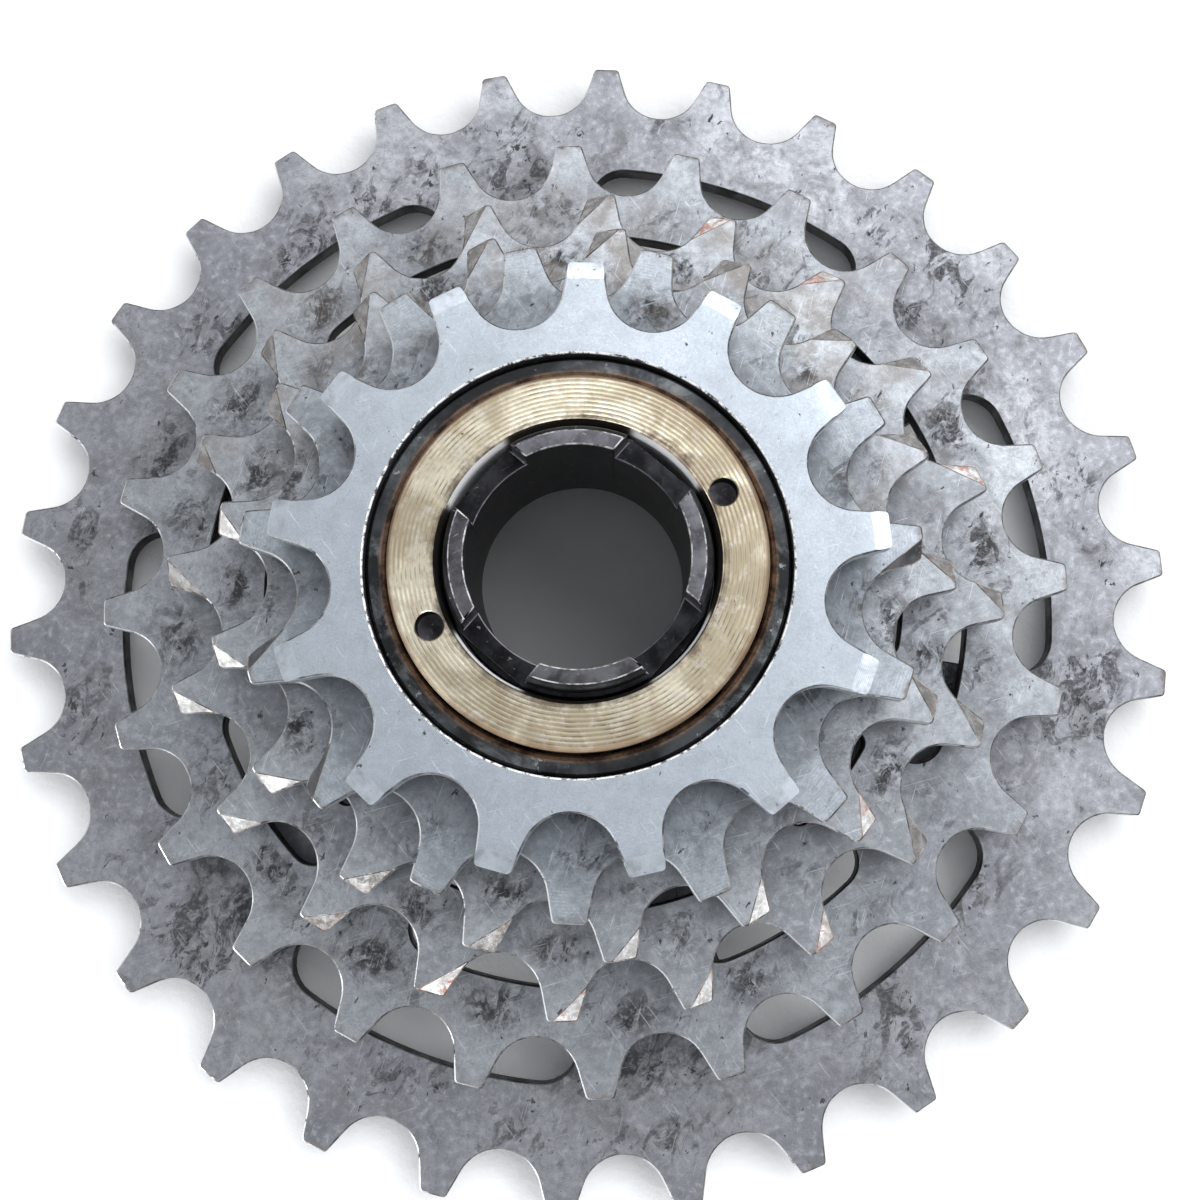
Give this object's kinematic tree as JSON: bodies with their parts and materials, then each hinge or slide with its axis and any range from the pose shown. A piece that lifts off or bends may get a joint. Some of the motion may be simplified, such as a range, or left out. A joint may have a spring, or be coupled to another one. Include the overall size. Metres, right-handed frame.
{
  "type": "bicycle freewheel",
  "caption": "Screw-on multiple freewheel for a bicycle: stepped cluster of toothed sprockets on a ratchet body with a gold lock ring and notched remover fitting.",
  "frame": {"origin": "on the axis of rotation, at the plane of the hub shoulder face, which is the part's lowest plane", "axes": "+Z along the axis of rotation from the hub side to the smallest sprocket; +X and +Y lie in the plane of the sprockets"},
  "size_m": [0.125, 0.1252, 0.0305],
  "materials": {
    "small_sprocket_steel": "satin zinc-plated steel with turned tooth bevels, scratches and small rust spots",
    "large_sprocket_steel": "satin steel with grey oil stains and dark specks",
    "spacer_steel": "dark oily steel",
    "shell_steel": "blackened steel, oily, with a brown rust tint at the front rim",
    "dust_ring_steel": "pressed steel",
    "body_steel": "black oxide, worn grey and bright at the lugs' edges",
    "gold_plate": "pale gold plating over fine turning grooves",
    "shim_steel": "bright rolled steel",
    "pawl_steel": "hardened steel, oily",
    "spring_steel": "blued spring steel",
    "ball_steel": "polished bearing steel"
  },
  "bodies": {
    "hub_side": {"inner_body": "body_steel", "lock_ring": "gold_plate", "shim_a": "shim_steel", "shim_b": "shim_steel", "pawl_spring_a": "spring_steel", "pawl_spring_b": "spring_steel"},
    "cluster": {"freewheel_shell": "shell_steel", "rear_dust_ring": "dust_ring_steel", "spacer_13_15": "spacer_steel", "spacer_15_17": "spacer_steel", "spacer_17_20": "spacer_steel", "spacer_20_24": "spacer_steel", "spacer_24_30": "spacer_steel", "sprocket_13t": "small_sprocket_steel", "sprocket_15t": "small_sprocket_steel", "sprocket_17t": "small_sprocket_steel", "sprocket_20t": "large_sprocket_steel", "sprocket_24t": "large_sprocket_steel", "sprocket_30t": "large_sprocket_steel"},
    "rear_bearing": {"rear_ball_ring": "ball_steel"},
    "front_bearing": {"front_ball_ring": "ball_steel"},
    "pawl_a": {"pawl_a": "pawl_steel"},
    "pawl_b": {"pawl_b": "pawl_steel"}
  },
  "joints": [
    {"name": "freewheel_spin", "type": "hinge", "parent": "hub_side", "child": "cluster", "pos_m": [0, 0, 0.014], "axis": [0, 0, 1], "continuous": true},
    {"name": "rear_balls_orbit", "type": "hinge", "parent": "hub_side", "child": "rear_bearing", "pos_m": [0, 0, 0.0031], "axis": [0, 0, 1], "continuous": true},
    {"name": "front_balls_orbit", "type": "hinge", "parent": "hub_side", "child": "front_bearing", "pos_m": [0, 0, 0.0243], "axis": [0, 0, 1], "continuous": true},
    {"name": "pawl_a_tilt", "type": "hinge", "parent": "hub_side", "child": "pawl_a", "pos_m": [0.01814, 0.0066, 0.009], "axis": [0, 0, -1], "range_deg": [0, 14], "stiffness_Nm_per_rad": 0.0005, "springref_deg": 28.65},
    {"name": "pawl_b_tilt", "type": "hinge", "parent": "hub_side", "child": "pawl_b", "pos_m": [-0.01814, -0.0066, 0.009], "axis": [0, 0, -1], "range_deg": [0, 14], "stiffness_Nm_per_rad": 0.0005, "springref_deg": 28.65}
  ],
  "couplings": [
    {"joint": "rear_balls_orbit", "follows": "freewheel_spin", "ratio": 0.5356},
    {"joint": "front_balls_orbit", "follows": "freewheel_spin", "ratio": 0.5487},
    {"joint": "pawl_b_tilt", "follows": "pawl_a_tilt", "ratio": 1}
  ]
}
